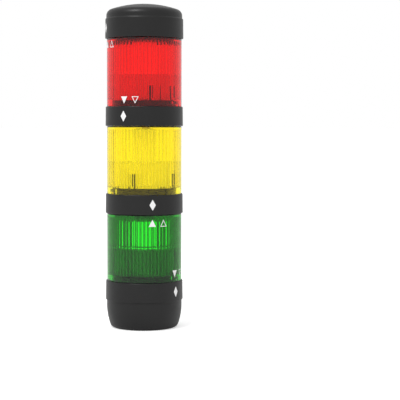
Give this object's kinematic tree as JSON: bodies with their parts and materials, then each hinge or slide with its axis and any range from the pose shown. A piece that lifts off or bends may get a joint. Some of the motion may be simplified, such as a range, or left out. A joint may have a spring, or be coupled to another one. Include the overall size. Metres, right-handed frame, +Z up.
{
  "type": "stack light",
  "caption": "Round modular signal tower with ribbed green, yellow and red lenses between black bayonet rings, a rounded base and a domed cap.",
  "frame": {"origin": "centre of the base's underside", "axes": "+Z up along the tower's axis, front at -Y"},
  "size_m": [0.0526, 0.0526, 0.2184],
  "materials": {
    "black_plastic": "moulded, semi-gloss",
    "green_lens": "clear tinted, smooth outside, ribbed inside",
    "yellow_lens": "clear tinted, smooth outside, ribbed inside",
    "red_lens": "clear tinted, smooth outside, ribbed inside",
    "white_plastic": "moulded, satin",
    "frosted_plastic": "frosted",
    "grey_plastic": "moulded",
    "circuit_board": "solder mask",
    "led_chip": "clear over phosphor",
    "copper": "plated strip",
    "steel": "zinc plated",
    "rubber": "moulded, matt"
  },
  "bodies": {
    "base": {"base_housing": "black_plastic", "base_collar": "black_plastic", "collar_screws": "steel", "base_gasket": "rubber", "cable_grommet": "rubber", "terminal_block": "grey_plastic", "terminal_clamps": "steel", "terminal_screws": "steel", "base_contact_pins": "copper", "green_control_board": "circuit_board", "green_led_carrier": "white_plastic", "green_carrier_screws": "steel", "green_led_boards": "circuit_board", "green_leds": "led_chip", "green_diffuser": "frosted_plastic", "green_conductor_strips": "copper", "green_lens_seal": "rubber"},
    "green_light": {"green_lens": "green_lens", "yellow_ring_seal": "rubber"},
    "yellow_module": {"yellow_module_ring": "black_plastic", "yellow_contact_insulator": "grey_plastic", "yellow_spring_contacts": "copper", "yellow_control_board": "circuit_board", "yellow_led_carrier": "white_plastic", "yellow_carrier_screws": "steel", "yellow_led_boards": "circuit_board", "yellow_leds": "led_chip", "yellow_diffuser": "frosted_plastic", "yellow_conductor_strips": "copper", "yellow_lens_seal": "rubber"},
    "yellow_light": {"yellow_lens": "yellow_lens", "red_ring_seal": "rubber"},
    "red_module": {"red_module_ring": "black_plastic", "red_contact_insulator": "grey_plastic", "red_spring_contacts": "copper", "red_control_board": "circuit_board", "red_led_carrier": "white_plastic", "red_carrier_screws": "steel", "red_led_boards": "circuit_board", "red_leds": "led_chip", "red_diffuser": "frosted_plastic", "red_conductor_strips": "copper", "red_lens_seal": "rubber"},
    "red_light": {"red_lens": "red_lens", "cap_seal": "rubber"},
    "cap": {"top_cap": "black_plastic"}
  },
  "joints": [
    {"name": "green_lens_twist", "type": "hinge", "parent": "base", "child": "green_light", "pos_m": [0, 0, 0.0322], "axis": [0, 0, 1], "range_deg": [-18, 0]},
    {"name": "yellow_ring_twist", "type": "hinge", "parent": "green_light", "child": "yellow_module", "pos_m": [0, 0, 0.0777], "axis": [0, 0, 1], "range_deg": [0, 18]},
    {"name": "yellow_lens_twist", "type": "hinge", "parent": "yellow_module", "child": "yellow_light", "pos_m": [0, 0, 0.0909], "axis": [0, 0, 1], "range_deg": [-18, 0]},
    {"name": "red_ring_twist", "type": "hinge", "parent": "yellow_light", "child": "red_module", "pos_m": [0, 0, 0.1364], "axis": [0, 0, 1], "range_deg": [0, 18]},
    {"name": "red_lens_twist", "type": "hinge", "parent": "red_module", "child": "red_light", "pos_m": [0, 0, 0.1496], "axis": [0, 0, 1], "range_deg": [-18, 0]},
    {"name": "cap_twist", "type": "hinge", "parent": "red_light", "child": "cap", "pos_m": [0, 0, 0.1951], "axis": [0, 0, 1], "range_deg": [0, 18]}
  ]
}
